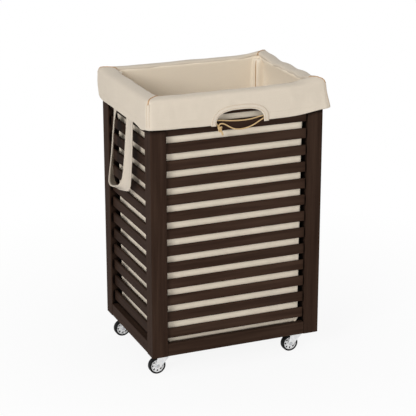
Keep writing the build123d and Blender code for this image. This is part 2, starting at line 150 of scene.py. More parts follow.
def ramp(tree, share, stops):
    made = add_node(tree, "ShaderNodeValToRGB", Fac=share)
    elements = made.color_ramp.elements
    while len(elements) < len(stops):
        elements.new(1)
    for element, (place, colour) in zip(elements, stops):
        element.position = place
        element.color = colour
    return made.outputs[0]


def noise_of(tree, vector, scale, detail=4.0, roughness=0.5):
    made = add_node(tree, "ShaderNodeTexNoise", Vector=vector, Scale=scale, Detail=detail,
                    Roughness=roughness)
    return made.outputs[0]


def place_of(tree, scale=(1, 1, 1), output="Object"):
    """Texture coordinates in metres, stretched by scale."""
    source = tree.nodes.new("ShaderNodeTexCoord")
    made = add_node(tree, "ShaderNodeMapping", Vector=source.outputs[output], Scale=scale)
    return made.outputs[0]


def bump(tree, height, distance, strength=1.0):
    made = add_node(tree, "ShaderNodeBump", Height=height, Distance=distance, Strength=strength)
    return made.outputs[0]


def spread(tree, value, low, high):
    """A value from 0 to 1 laid out from low to high."""
    made = add_node(tree, "ShaderNodeMapRange", Value=value, To_Min=low, To_Max=high)
    return made.outputs[0]


def background_rays(tree):
    """1 on the rays that show the pale background: the camera's, and those off metal and through gaps."""
    ray = tree.nodes.new("ShaderNodeLightPath").outputs
    seen = math_node(tree, "MAXIMUM", ray["Is Camera Ray"], ray["Is Transmission Ray"])
    return math_node(tree, "MAXIMUM", seen, ray["Is Glossy Ray"])


def edge_wear(tree, radius):
    """About 1 where two faces meet at an edge, 0 on the flat."""
    rounded = add_node(tree, "ShaderNodeBevel", {"samples": 6}, Radius=radius)
    true_normal = tree.nodes.new("ShaderNodeNewGeometry").outputs["Normal"]
    dot = tree.nodes.new("ShaderNodeVectorMath")
    dot.operation = "DOT_PRODUCT"
    tree.links.new(rounded.outputs[0], dot.inputs[0])
    tree.links.new(true_normal, dot.inputs[1])
    return math_node(tree, "SUBTRACT", 1.0, dot.outputs["Value"])


def hollow_shade(tree, reach, darkest, start, end, own_only=False):
    """Painted shade: white in the open, dark in corners and hollows that are closed in within reach."""
    settings = {"samples": 8, "only_local": own_only}
    sky = add_node(tree, "ShaderNodeAmbientOcclusion", settings, Distance=reach)
    return ramp(tree, sky.outputs["AO"], [(start, (darkest, darkest, darkest, 1)), (end, (1, 1, 1, 1))])


def end_in_mix(tree, share, first, second, output):
    """Ends a tree in the mix of two shader nodes."""
    mixed = tree.nodes.new("ShaderNodeMixShader")
    put(tree, mixed.inputs[0], share)
    tree.links.new(first.outputs[0], mixed.inputs[1])
    tree.links.new(second.outputs[0], mixed.inputs[2])
    surface = tree.nodes.new(output)
    tree.links.new(mixed.outputs[0], surface.inputs[0])


# Materials

slat_pitch = 40 * MM
board_start = 88 * MM
# Reach of the painted shade where the posts meet the rails and slats
joint_shade = 16 * MM
wear_width = 1.6 * MM
# Noise cells per metre across and along the grain
grain_across = 110
grain_along = 5
# Stain from the dark to the light streaks of the grain
stain_stops = (
    (0.28, (0.0227, 0.0119, 0.0077)),
    (0.52, (0.035, 0.0194, 0.0129)),
    (0.75, (0.0465, 0.0268, 0.0180)),
)
worn_stain = (0.090, 0.052, 0.034, 1)
dust_colour = (0.45, 0.43, 0.40, 1)


def dark_wood(name, grain_axis, tone=1.0, boards=False, joints=False):
    """Espresso stain over a straight grain; boards can differ a little, and painted shade can darken the wood
    where other parts meet it.
    """
    made, tree, shader = new_material(name, Specular_IOR_Level=0.03)
    stretch = [grain_across] * 3
    stretch[grain_axis] = grain_along
    grain = noise_of(tree, place_of(tree, stretch), 1.0, 6, 0.6)
    pores = noise_of(tree, place_of(tree, [4 * s for s in stretch]), 1.0, 3, 0.6)
    cloud = noise_of(tree, place_of(tree), 9.0, 2)
    stops = [(place, tuple(tone * part for part in colour) + (1,)) for place, colour in stain_stops]
    stain = ramp(tree, grain, stops)
    shade = spread(tree, cloud, 0.88, 1.12)
    if boards:
        place = tree.nodes.new("ShaderNodeTexCoord").outputs["Object"]
        height = add_node(tree, "ShaderNodeSeparateXYZ", Vector=place).outputs[2]
        lifted = math_node(tree, "SUBTRACT", height, board_start)
        step = math_node(tree, "FLOOR", math_node(tree, "DIVIDE", lifted, slat_pitch))
        board = add_node(tree, "ShaderNodeTexWhiteNoise", {"noise_dimensions": "1D"}, W=step).outputs[0]
        shade = times(tree, shade, spread(tree, board, 0.90, 1.12))
    toned = tint(tree, stain, shade)
    wear = times(tree, edge_wear(tree, wear_width), spread(tree, cloud, 0.0, 1.0))
    worn_and_shaded = mix_colour(tree, wear, toned, worn_stain)
    if joints:
        # Painted shade: darker in the recesses where the slats and rails meet the post
        worn_and_shaded = tint(tree, worn_and_shaded, hollow_shade(tree, joint_shade, 0.04, 0.70, 0.97))
    relief = math_node(tree, "ADD", grain, times(tree, pores, 0.5))
    fill(tree, shader, Base_Color=worn_and_shaded, Roughness=spread(tree, pores, 0.52, 0.72),
         Normal=bump(tree, relief, 0.12 * MM, 0.5))
    return made


def plain_wood(name, light, dark):
    """Unfinished wood: soft grain, no stain."""
    made, tree, shader = new_material(name, Specular_IOR_Level=0.25)
    grain = noise_of(tree, place_of(tree, (8, 60, 60)), 1.0, 5, 0.6)
    fill(tree, shader, Base_Color=ramp(tree, grain, [(0.3, dark), (0.7, light)]),
         Roughness=spread(tree, grain, 0.5, 0.7), Normal=bump(tree, grain, 0.1 * MM))
    return made


def zinc(name, dark, light, rough):
    """Zinc plate with a faint spangle and smears."""
    made, tree, shader = new_material(name, Metallic=1.0)
    spangle = add_node(tree, "ShaderNodeTexVoronoi", Vector=place_of(tree), Scale=420.0).outputs["Color"]
    smear = noise_of(tree, place_of(tree), 160.0, 4, 0.6)
    tone = ramp(tree, smear, [(0.3, dark), (0.7, light)])
    fill(tree, shader, Base_Color=mix_colour(tree, 0.06, tone, spangle, "OVERLAY"),
         Roughness=spread(tree, smear, rough - 0.08, rough + 0.10), Normal=bump(tree, smear, 0.03 * MM))
    return made


def moulded(name, colour, rough, grain_scale, dusty, gloss, painted_shade_reach=None):
    """Moulded plastic or rubber with a fine grain, a little dust, and painted shade in its hollows if asked
    for.
    """
    made, tree, shader = new_material(name, Specular_IOR_Level=gloss)
    fine = noise_of(tree, place_of(tree), grain_scale, 3, 0.6)
    dust = noise_of(tree, place_of(tree), 130.0, 4)
    base = mix_colour(tree, spread(tree, dust, 0.0, dusty), colour, dust_colour)
    if painted_shade_reach:
        # Painted shade: hollows closed in within the reach are darkened, such as the hub's holes
        base = tint(tree, base, hollow_shade(tree, painted_shade_reach, 0.02, 0.30, 0.62, own_only=True))
    fill(tree, shader, Base_Color=base, Roughness=spread(tree, fine, rough - 0.08, rough + 0.12),
         Normal=bump(tree, fine, 0.05 * MM))
    return made


def woven(name, colour, pitch, depth, slub=0.05, sheen=0.12):
    """Plain weave: warp and weft threads that pass over and under each other, in UV metres."""
    made, tree, shader = new_material(name, Roughness=0.88, Specular_IOR_Level=0.15, Sheen_Weight=sheen)
    place = place_of(tree, (1, 1, 1), "UV")
    parts = add_node(tree, "ShaderNodeSeparateXYZ", Vector=place)
    turns = [times(tree, part, math.pi / pitch) for part in parts.outputs[:2]]
    warp, weft = [math_node(tree, "ABSOLUTE", math_node(tree, "SINE", turn)) for turn in turns]
    over = add_node(tree, "ShaderNodeTexChecker", Vector=place, Scale=1 / pitch).outputs["Fac"]
    under = math_node(tree, "SUBTRACT", 1.0, over)
    thread = math_node(tree, "ADD", times(tree, warp, over), times(tree, weft, under))
    stretches = ((700, 25, 1), (25, 700, 1))
    streaks = [noise_of(tree, place_of(tree, stretch, "UV"), 1.0, 2) for stretch in stretches]
    streak = times(tree, math_node(tree, "ADD", *streaks), 0.5)
    cloud = noise_of(tree, place_of(tree), 7.0, 3)
    slubs = spread(tree, streak, 1 - slub, 1 + slub)
    tone = times(tree, slubs, spread(tree, cloud, 0.955, 1.045))
    # Painted shade: the threads are a little darker in the gaps between them and lighter on their crowns
    painted_gap_shade = spread(tree, thread, 0.90, 1.03)
    shade = times(tree, tone, painted_gap_shade)
    relief = math_node(tree, "ADD", thread, streak)
    fill(tree, shader, Base_Color=tint(tree, colour, shade), Normal=bump(tree, relief, depth))
    return made


def thread_finish(name, colour, pitch):
    """Cotton yarn: soft fibres in two shades, a little cloudy."""
    made, tree, shader = new_material(name, Roughness=0.85, Specular_IOR_Level=0.15, Sheen_Weight=0.15)
    fibre = noise_of(tree, place_of(tree), 1 / pitch, 4, 0.65)
    cloud = noise_of(tree, place_of(tree), 60.0, 2)
    dark = tuple(0.72 * c for c in colour[:3]) + (1,)
    base = ramp(tree, fibre, [(0.3, dark), (0.65, colour)])
    fill(tree, shader, Base_Color=tint(tree, base, spread(tree, cloud, 0.9, 1.08)),
         Normal=bump(tree, fibre, 0.15 * MM))
    return made


# Painted light and shade: the front and rear slats take a lighter copy of the stain and the side slats a
# darker one, as the light falls on each face
slat_x = dark_wood("espresso_slat_x", 0, 1.13, boards=True)
slat_y = dark_wood("espresso_slat_y", 1, 0.86, boards=True)
rail_x = dark_wood("espresso_rail_x", 0)
rail_y = dark_wood("espresso_rail_y", 1)
post_z = dark_wood("espresso_post", 2, 0.99, joints=True)
base_board = dark_wood("espresso_board", 0, 0.8)
beech = plain_wood("beech", srgb(214, 180, 136), srgb(188, 150, 108))
zinc_steel = zinc("zinc_steel", srgb(208, 209, 210), srgb(232, 232, 232), 0.38)
rivet_steel = zinc("rivet_steel", srgb(176, 177, 178), srgb(200, 200, 200), 0.60)
# The hub's holes are darkened with painted shade
grey_plastic = moulded("grey_plastic", srgb(236, 236, 236), 0.42, 900.0, 0.06, 0.4, 5 * MM)
black_tyre = moulded("black_tyre", srgb(8, 8, 9), 0.62, 700.0, 0.012, 0.12)
canvas = woven("canvas", srgb(214, 202, 185), 0.9 * MM, 0.07 * MM)
# Painted light: the bag is the cuff's cloth painted lighter, so that it stays bright in the shade behind the
# slats
bag_canvas_painted_light = woven("bag_canvas_painted_light", srgb(238, 225, 205), 0.9 * MM, 0.07 * MM)
webbing = woven("webbing", srgb(212, 200, 184), 1.6 * MM, 0.25 * MM)
seam_thread = thread_finish("seam_thread", srgb(190, 153, 108), 0.7 * MM)
pale_thread = thread_finish("pale_thread", srgb(226, 216, 198), 0.7 * MM)
piping_cotton = thread_finish("piping_cotton", srgb(190, 146, 100), 0.7 * MM)
drawstring = thread_finish("drawstring_cotton", srgb(216, 184, 134), 0.8 * MM)


def finish_of(node):
    """The material of a CAD node that stays in view."""
    along_x = node.endswith(("front", "rear"))
    by_start = {
        "post": post_z,
        "slats": slat_x if along_x else slat_y,
        "top_rail": rail_x if along_x else rail_y,
        "bottom_rail": rail_x if along_x else rail_y,
        "base_panel": base_board,
        "base_battens": rail_y,
        "rail_dowels": beech,
        "drawstring": drawstring,
    }
    by_end = {"axle": rivet_steel, "hub": grey_plastic, "tyre": black_tyre}
    found = [finish for start, finish in by_start.items() if node.startswith(start)]
    found += [finish for end, finish in by_end.items() if node.endswith(end)]
    return found[0] if found else zinc_steel


for node_name, node_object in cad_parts.items():
    node_object.data.materials.clear()
    node_object.data.materials.append(finish_of(node_name))


# Mesh helpers


def make_object(name, points, faces, finish, uv=None):
    """A smooth mesh object of the points that its faces use."""
    used = sorted({index for face in faces for index in face})
    if len(used) < len(points):
        renumbered = {old: new for new, old in enumerate(used)}
        points = [points[index] for index in used]
        faces = [tuple(renumbered[index] for index in face) for face in faces]
        uv = uv and [uv[index] for index in used]
    mesh = bpy.data.meshes.new(name)
    mesh.from_pydata([tuple(map(float, p)) for p in points], [], faces)
    mesh.polygons.foreach_set("use_smooth", [True] * len(mesh.polygons))
    if uv is not None:
        layer = mesh.uv_layers.new(name="UVMap")
        for loop in mesh.loops:
            layer.data[loop.index].uv = uv[loop.vertex_index]
    mesh.materials.append(finish)
    made = bpy.data.objects.new(name, mesh)
    bpy.context.scene.collection.objects.link(made)
    return made


def settle(obj, body, slot, *nodes):
    """The piece rides a body and stands for the named nodes, which it hides; slot is not used."""
    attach(obj, body)
    if nodes:
        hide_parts(*nodes)
    return obj


def grid_faces(rows, columns, closed=False, keep=None):
    """Quads of a grid whose points run along the columns of each row in turn."""
    faces = []
    for row in range(rows - 1):
        for column in range(columns if closed else columns - 1):
            if keep and not keep(row, column):
                continue
            beside = (column + 1) % columns
            here, below = row * columns, (row + 1) * columns
            faces.append((here + column, below + column, below + beside, here + beside))
    return faces


def thicken(obj, thickness):
    solid = obj.modifiers.new("cloth_thickness", "SOLIDIFY")
    solid.thickness = thickness
    solid.offset = -1.0
    solid.use_even_offset = False


def smooth_line(points, per_bend):
    """Points on the quadratic curve that rounds off a control line."""
    points = np.array(points, float)
    ends = np.vstack([points[:1], (points[1:-2] + points[2:-1]) / 2, points[-1:]])
    line = [ends[0]]
    for start, control, end in zip(ends[:-1], points[1:-1], ends[1:]):
        for share in np.linspace(0, 1, per_bend + 1)[1:]:
            back = 1 - share
            line.append(back * back * start + 2 * back * share * control + share * share * end)
    return np.array(line)


def run_along(line):
    """Distance from the start of a line to each of its points."""
    return np.concatenate([[0], np.cumsum(np.linalg.norm(np.diff(line, axis=0), axis=1))])


def along_line(line, step):
    """The same line with evenly spaced points."""
    reached = run_along(line)
    places = np.linspace(0, reached[-1], max(2, int(reached[-1] / step) + 1))
    return np.stack([np.interp(places, reached, line[:, axis]) for axis in range(3)], 1)


def unit(vectors):
    return vectors / np.maximum(np.linalg.norm(vectors, axis=-1, keepdims=True), 1e-12)


def carried_frames(line):
    """Two directions across a line that turn as little as they can along it."""
    tangents = unit(np.gradient(line, axis=0))
    start = np.array([0, 0, 1.0]) if abs(tangents[0][2]) < 0.9 else np.array([1.0, 0, 0])
    across = []
    for tangent in tangents:
        start = unit(start - tangent * (start @ tangent))
        across.append(start)
    across = np.array(across)
    return across, np.cross(tangents, across)


def tube(line, radii, sides):
    """Points and faces of a closed round tube along a line."""
    across, beside = carried_frames(line)
    radii = np.broadcast_to(radii, len(line))
    turns = np.linspace(0, 2 * math.pi, sides, endpoint=False)
    points = [p + r * (math.cos(t) * a + math.sin(t) * b)
              for p, r, a, b in zip(line, radii, across, beside) for t in turns]
    faces = grid_faces(len(line), sides, closed=True)
    faces = [face[::-1] for face in faces]
    faces.append(tuple(range(sides))[::-1])
    last = (len(line) - 1) * sides
    faces.append(tuple(range(last, last + sides)))
    return points, faces


class Gathered:
    """Points and faces of many small parts that share one mesh."""

    def __init__(self):
        self.points = []
        self.faces = []

    def add(self, points, faces):
        first = len(self.points)
        self.points.extend(points)
        self.faces.extend(tuple(first + i for i in face) for face in faces)

    def make(self, name, finish, body, slot, *nodes):
        made = make_object(name, self.points, self.faces, finish)
        return settle(made, body, slot, *nodes)


stitch_length = 2.9 * MM
stitch_pitch = 4.0 * MM
stitch_radius = 0.38 * MM
stitch_shares = (0.0, 0.15, 0.5, 0.85, 1.0)
stitch_sizes = (0.45, 0.9, 1.0, 0.9, 0.45)
stitch_heights = (-0.30 * MM, 0.05 * MM, 0.16 * MM, 0.05 * MM, -0.30 * MM)
stitch_sides = 5


def add_stitches(gathered, line, normals):
    """A row of thread stitches on a line of points, each one dipping into the cloth at its ends."""
    reached = run_along(line)
    normals = np.broadcast_to(normals, line.shape)

    def at(values, place):
        return np.array([np.interp(place, reached, values[:, axis]) for axis in range(3)])

    for start in np.arange(0, reached[-1] - stitch_length, stitch_pitch):
        places = [start + share * stitch_length for share in stitch_shares]
        middle = [at(line, place) + height * at(normals, place)
                  for place, height in zip(places, stitch_heights)]
        gathered.add(*tube(np.array(middle), stitch_radius * np.array(stitch_sizes), stitch_sides))


# The folded cuff: four canvas panels that meet at mitred corners

perimeter = 4 * (half_width + half_depth)
corner_fl = 0.0
corner_fr = 2 * half_width
corner_rr = 2 * half_width + 2 * half_depth
corner_rl = 4 * half_width + 2 * half_depth
corner_run = 10 * MM

# Each side: half length, distance from the middle, direction along, direction out
# and place of its first corner
sides = {
    "front": (half_width, half_depth, np.array([1.0, 0, 0]), np.array([0, -1.0, 0]), corner_fl),
    "right": (half_depth, half_width, np.array([0, 1.0, 0]), np.array([1.0, 0, 0]), corner_fr),
    "rear": (half_width, half_depth, np.array([-1.0, 0, 0]), np.array([0, 1.0, 0]), corner_rr),
    "left": (half_depth, half_width, np.array([0, -1.0, 0]), np.array([-1.0, 0, 0]), corner_rl),
}

notch_half = 59 * MM
notch_rise = 31 * MM
notch_power = 2.7
facing_width = 11 * MM
tunnel_height = 17 * MM

# Puffs and pulls of the canvas along the rim: place, size and reach
rim_puffs = (
    (corner_fl, 1.5 * MM, 30 * MM),
    (corner_fr, 10.0 * MM, 46 * MM),
    (corner_rr, 8.0 * MM, 40 * MM),
    (corner_rl, 2.5 * MM, 40 * MM),
)
rim_pulls = (
    (corner_fr, -7.0 * MM, 52 * MM),
    (corner_rr, -3.0 * MM, 40 * MM),
)
hem_flares = (
    (corner_fr, 6.5 * MM, 48 * MM),
    (corner_rr, 2.0 * MM, 38 * MM),
    (corner_rl, -2.0 * MM, 24 * MM),
)
hem_shifts = (
    (corner_fl, 3.0 * MM, 34 * MM),
    (corner_fl - 36 * MM, -5.5 * MM, 20 * MM),
    (half_width, -2.5 * MM, 100 * MM),
    (corner_fr, 11.0 * MM, 52 * MM),
    (corner_rl, 5.0 * MM, 18 * MM),
)
ripple_height = 1.7 * MM
ripple_pitch = 84 * MM
ripple_ease = 40 * MM
rim_zone = 16 * MM
# Uneven waves of the canvas
rim_wave = 1.2 * MM
hem_wave = 1.3 * MM
billow_mean = 0.8 * MM
billow_wave = 0.9 * MM
crease_wave = 0.7 * MM
lip_wave = 1.6 * MM
sway_wave = 0.8 * MM
wave_height_rate = 40
# Where a part of the cuff begins, outward of the frame or inward for the lip, and its run to full effect
face_zone = (3.5 * MM, 4 * MM)
lean_zone = (-8 * MM, 10 * MM)
lip_zone = (8 * MM, 8 * MM)
# How fast the lean fades below the rim, and the flare and sway grow towards the hem
lean_power = 1.5
flare_power = 1.4
sway_power = 3


def ease(share):
    share = min(1.0, max(0.0, share))
    return share * share * (3 - 2 * share)


def fade_in(distance, zone):
    start, run = zone
    return ease((distance - start) / run)


def apart(place, other):
    """Distance along the rim between two places."""
    return (place - other + perimeter / 2) % perimeter - perimeter / 2


def soft_noise(*place):
    return noise.noise(Vector(place))


def ring_noise(place, height, waves, seed):
    """Noise that closes on itself round the rim."""
    turn = 2 * math.pi * place / perimeter
    return soft_noise(waves * math.cos(turn), waves * math.sin(turn), height * wave_height_rate + seed)


def swell(place, puffs):
    """Sum of the soft bumps at a place along the rim."""
    return sum(size * math.exp(-(apart(place, spot) / reach) ** 2) for spot, size, reach in puffs)


def rim_lift(place):
    lift = swell(place, rim_puffs)
    on_right = ease((place - corner_fr) / ripple_ease) * ease((corner_rr - place) / ripple_ease)
    ripple = on_right * ripple_height * math.sin(2 * math.pi * (place - corner_fr) / ripple_pitch)
    return lift + ripple + rim_wave * ring_noise(place, 0, waves=5, seed=1.7)


def hem_flare(place):
    return swell(place, hem_flares) + hem_wave * ring_noise(place, 0, waves=4, seed=7.1)


def corner_radius(outward):
    return max(mouth_corner_radius, post_edge_radius + outward)


def outward_x(outward):
    """Inside the frame the mouth leans further in on the short sides."""
    return outward * mouth_inset_x / mouth_inset_y if outward < 0 else outward


def outward_pair(side, outward):
    """How far an outline stands out along a side and across it."""
    pair = (outward_x(outward), outward)
    return pair if side in ("front", "rear") else pair[::-1]


def straight_half(side, outward):
    return sides[side][0] + outward_pair(side, outward)[0] - corner_radius(outward)


def outline_point(side, column, outward):
    """Plan point of a column on the rounded outline that stands outward of the frame."""
    _, other, along, out, _ = sides[side]
    turn, share = column
    radius = corner_radius(outward)
    straight = straight_half(side, outward)
    if turn:
        a = math.copysign(straight + radius * math.sin(abs(turn)), turn)
    else:
        a = share * straight
    b = other + outward_pair(side, outward)[1] - radius + radius * math.cos(turn)
    return along * a + out * b


def column_place(side, column):
    half, _, _, _, start = sides[side]
    turn, share = column
    return start + half + share * (half - corner_run) + turn / (math.pi / 4) * corner_run


def cuff_point(side, column, outward, height):
    """A point of the draped cuff: outward of the frame's faces, height above the frame's top."""
    place = column_place(side, column)
    dropped = min(1.0, max(0.0, -height / cuff_drop))
    outside = fade_in(outward, face_zone)
    on_rim = ease((height + rim_zone) / rim_zone)
    rise = on_rim * rim_lift(place)
    lean = fade_in(outward, lean_zone) * (1 - dropped) ** lean_power * swell(place, rim_pulls)
    pull = outside * dropped ** flare_power * hem_flare(place) + lean
    puffed = billow_mean + billow_wave * ring_noise(place, height, waves=9, seed=3.3)
    billow = outside * math.sin(math.pi * dropped) * puffed
    crease = outside * crease_wave * ring_noise(place, height, waves=26, seed=5.9)
    lip = fade_in(-outward, lip_zone) * lip_wave * ring_noise(place, 0, waves=8, seed=11.2)
    uneven = sway_wave * ring_noise(place, 0, waves=6, seed=13.4)
    sway = dropped ** sway_power * (swell(place, hem_shifts) + uneven)
    point = outline_point(side, column, outward + pull + billow + crease + lip)
    return point + np.array([0, 0, frame_top + height + rise + sway])


def notch_height(a):
    return notch_rise * (1 - min(1.0, abs(a) / notch_half) ** notch_power) ** (1 / notch_power)


over_line = smooth_line([
    (-mouth_inset_y, 0.6 * MM),
    (-mouth_inset_y - 1.0 * MM, 5.5 * MM),
    (-16 * MM, 8.8 * MM),
    (-6 * MM, 8.8 * MM),
    (4 * MM, 7.0 * MM),
    (cuff_reach - 1.4 * MM, 2.0 * MM),
    (cuff_reach - 0.4 * MM, -6 * MM),
    (cuff_reach - 0.3 * MM, -16 * MM),
], 5)
face_start = -over_line[-1][1]
face_end = cuff_drop - 4 * MM
face_rows = 13
fold_line = smooth_line([
    (cuff_reach, -face_end),
    (cuff_reach, -cuff_drop),
    (8.4 * MM, -cuff_drop - 0.7 * MM),
    (4.2 * MM, -cuff_drop),
    (3.4 * MM, -cuff_drop + 7 * MM),
    (3.3 * MM, -cuff_drop + tunnel_height),
], 4)[1:]
corner_columns = 7
notch_columns = 47
beside_notch_columns = 26
column_width = 7 * MM


def panel_columns(side):
    turns = np.linspace(-math.pi / 4, 0, corner_columns)[:-1]
    straight = straight_half(side, cuff_reach)
    if side == "front":
        edge = notch_half / straight
        across = edge * np.sin(np.linspace(-math.pi / 2, math.pi / 2, notch_columns))
        outer = np.linspace(edge, 1, beside_notch_columns)[1:]
        run = np.concatenate([-outer[::-1], across, outer])
    else:
        run = np.linspace(-1, 1, int(2 * straight / column_width))
    return [(t, -1.0) for t in turns] + [(0.0, s) for s in run] + [(-t, 1.0) for t in turns[::-1]]


def make_cuff(side):
    columns = panel_columns(side)
    straight = straight_half(side, cuff_reach)

    def in_notch(column):
        return side == "front" and abs(column[1]) * straight < notch_half - 1e-6

    points = []
    uv = []
    lengths = run_along(over_line)
    for (outward, height), run in zip(over_line, lengths):
        points += [cuff_point(side, c, outward, height) for c in columns]
        uv += [(column_place(side, c), run) for c in columns]
    for step in np.linspace(0, 1, face_rows + 1)[1:]:
        for c in columns:
            low = cuff_drop - notch_height(c[1] * straight) if in_notch(c) else face_end
            height = -face_start - step * (low - face_start)
            points.append(cuff_point(side, c, cuff_reach, height))
            uv.append((column_place(side, c), lengths[-1] - face_start - height))
    for outward, height in fold_line:
        points += [cuff_point(side, c, outward, height) for c in columns]
        run = lengths[-1] - face_start - height + cuff_reach - outward
        uv += [(column_place(side, c), run) for c in columns]
    whole_rows = len(over_line) + face_rows
    rows = whole_rows + len(fold_line)

    def keep(row, column):
        on_fold = row >= whole_rows - 1
        return not (on_fold and (in_notch(columns[column]) or in_notch(columns[column + 1])))

    made = make_object(f"cuff_{side}_canvas", points, grid_faces(rows, len(columns), keep=keep), canvas, uv)
    thicken(made, canvas_thickness)
    settle(made, "liner", "canvas", f"cuff_{side}")


for side_name in sides:
    make_cuff(side_name)


# Seams: a rolled mitre on the rim and a lapped seam down each corner

corners = {"fl": "front", "fr": "right", "rr": "rear", "rl": "left"}
mitre_radius = 1.3 * MM
mitre_drop = 4 * MM
mitre_step = 1.5 * MM
mitre_twist = 0.12
mitre_twist_rate = 1.1
mitre_sides = 8
seam_top = 2 * MM
seam_rows = 26
seam_sink = 0.2 * MM
seam_cloth = 0.5 * MM
seam_stitch_place = 2.9 * MM
seam_stitch_proud = 0.5 * MM
# Section of the lapped seam in millimetres: place across it and height proud of the canvas
seam_shape = ((-4.1, -0.5), (-3.7, 0.35), (-1.6, 0.65), (0.0, 0.35), (1.6, 0.65), (3.7, 0.35), (4.1, -0.5))


def corner_line(side, steps):
    """Points down the corner at the start of a side, for (outward, height) steps."""
    return np.array([cuff_point(side, (-math.pi / 4, -1.0), o, h) for o, h in steps])


def make_corner_seam(corner, side):
    over_rim = [step for step in over_line if step[1] > -mitre_drop]
    line = along_line(corner_line(side, over_rim), mitre_step)
    twist = 1 + mitre_twist * np.sin(np.arange(len(line)) * mitre_twist_rate)
    points, faces = tube(line, mitre_radius * twist, mitre_sides)
    bead = make_object(f"mitre_piping_{corner}", points, faces, piping_cotton)
    settle(bead, "liner", "canvas")

    heights = np.linspace(-seam_top, -face_end, seam_rows)
    line = corner_line(side, [(cuff_reach - seam_sink, h) for h in heights])
    outward = unit(line[0] * np.array([1, 1, 0]))
    across = np.cross(np.array([0, 0, 1.0]), outward)
    points = []
    uv = []
    for point, height in zip(line, heights):
        for width, proud in seam_shape:
            curl = (width * MM) ** 2 / (2 * corner_radius(cuff_reach))
            points.append(point + across * width * MM + outward * (proud * MM - curl))
            uv.append((width * MM, height))
    strip = make_object(f"corner_seam_{corner}", points, grid_faces(len(line), len(seam_shape)), canvas, uv)
    thicken(strip, seam_cloth)
    settle(strip, "liner", "canvas")
    thread = Gathered()
    for width in (-seam_stitch_place, seam_stitch_place):
        curl = width ** 2 / (2 * corner_radius(cuff_reach))
        row = line + across * width + outward * (seam_stitch_proud - curl)
        add_stitches(thread, row, outward)
    thread.make(f"corner_stitches_{corner}", seam_thread, "liner", "canvas")


for corner_name, side_name in corners.items():
    make_corner_seam(corner_name, side_name)


# Facing of the notch at the front hem

# Its section in millimetres: place out from the notch's edge and height proud of the canvas
facing_section = (
    (0.6, -2.6), (-0.9, -2.0), (-1.3, -0.7), (-0.7, 0.5), (0.8, 0.95), (3.0, 0.85),
    (6.0, 0.80), (9.4, 0.85), (10.6, 0.65), (11.0, -0.2), (10.6, -0.8),
)
facing_steps = 72
facing_tab = 2.2 * MM
facing_stitch_places = (2.2 * MM, 9.2 * MM)
facing_stitch_proud = 0.9 * MM


def notch_edge(turn):
    """A point of the notch's edge and the direction out of the notch, in the front panel's plane."""
    power = 2 / notch_power
    c, s = math.cos(turn), math.sin(turn)
    a = -math.copysign(abs(c) ** power, c) * notch_half
    h = max(s, 0) ** power * notch_rise
    slope = notch_power - 1
    normal = np.array([
        math.copysign(abs(a / notch_half) ** slope, a) / notch_half,
        (h / notch_rise) ** slope / notch_rise,
    ])
    return np.array([a, h]), unit(normal)


def on_front(a, h, proud):
    """A point on the front panel, h above the hem and proud of the canvas."""
    column = (0.0, a / straight_half("front", cuff_reach))
    return cuff_point("front", column, cuff_reach, h - cuff_drop) + sides["front"][3] * proud


def facing_line():
    turns = math.pi * np.linspace(0, 1, facing_steps + 1)
    spots = [notch_edge(t) for t in turns]
    (first, first_out), (last, last_out) = spots[0], spots[-1]
    tab = np.array([0, -facing_tab])
    return [(first + tab, first_out)] + spots + [(last + tab, last_out)]


def make_notch_facing():
    spots = facing_line()
    points = []
    uv = []
    run = 0.0
    for index, (edge, out) in enumerate(spots):
        if index:
            run += np.linalg.norm(edge - spots[index - 1][0])
        for width, proud in facing_section:
            a, h = edge + out * width * MM
            points.append(on_front(a, h, proud * MM))
            uv.append((run, width * MM))
    faces = grid_faces(len(spots), len(facing_section))
    made = make_object("notch_binding", points, faces, canvas, uv)
    thicken(made, seam_cloth)
    settle(made, "liner", "canvas", "notch_facing")
    thread = Gathered()
    for width in facing_stitch_places:
        row = np.array([on_front(*(edge + out * width), facing_stitch_proud) for edge, out in spots])
        add_stitches(thread, row, sides["front"][3])
    thread.make("notch_stitches", seam_thread, "liner", "canvas")


make_notch_facing()

# The row of stitches that closes the drawstring tunnel
hem_row_drop = 1 * MM
hem_row_gap = 1 * MM
hem_row_end = 10 * MM
hem_row_points = 60
hem_row_proud = 0.1 * MM


def make_hem_stitches():
    thread = Gathered()
    height = tunnel_height - cuff_drop - hem_row_drop
    for side, (half, _, _, out, _) in sides.items():
        end = half - hem_row_end
        spans = [(-end, end)]
        if side == "front":
            clear = notch_half + facing_width + hem_row_gap
            spans = [(-end, -clear), (clear, end)]
        for start, stop in spans:
            shares = np.linspace(start, stop, hem_row_points) / straight_half(side, cuff_reach)
            row = np.array([cuff_point(side, (0.0, s), cuff_reach, height) for s in shares])
            add_stitches(thread, row + out * hem_row_proud, out)
    thread.make("hem_stitches", pale_thread, "liner", "canvas")


make_hem_stitches()


# The bag that hangs inside the slats

wall_gap = 0.4 * MM
post_gap = 1.0 * MM
corner_ease_run = 10 * MM
bag_bend = 14 * MM
bag_bend_reach = np.array((14 * MM, 5 * MM, 0))
corner_steps = 5
post_ease_steps = 3
mouth_turn_points = 9
bag_column_width = 8 * MM
# Share of a half side along the rim that the columns of a corner take up
corner_share = 0.1


def mouth_outset(side):
    """Half length of the mouth along a side and its distance across it."""
    half, other, _, _, _ = sides[side]
    lean, across = outward_pair(side, -mouth_inset_y)
    return half + lean, other + across


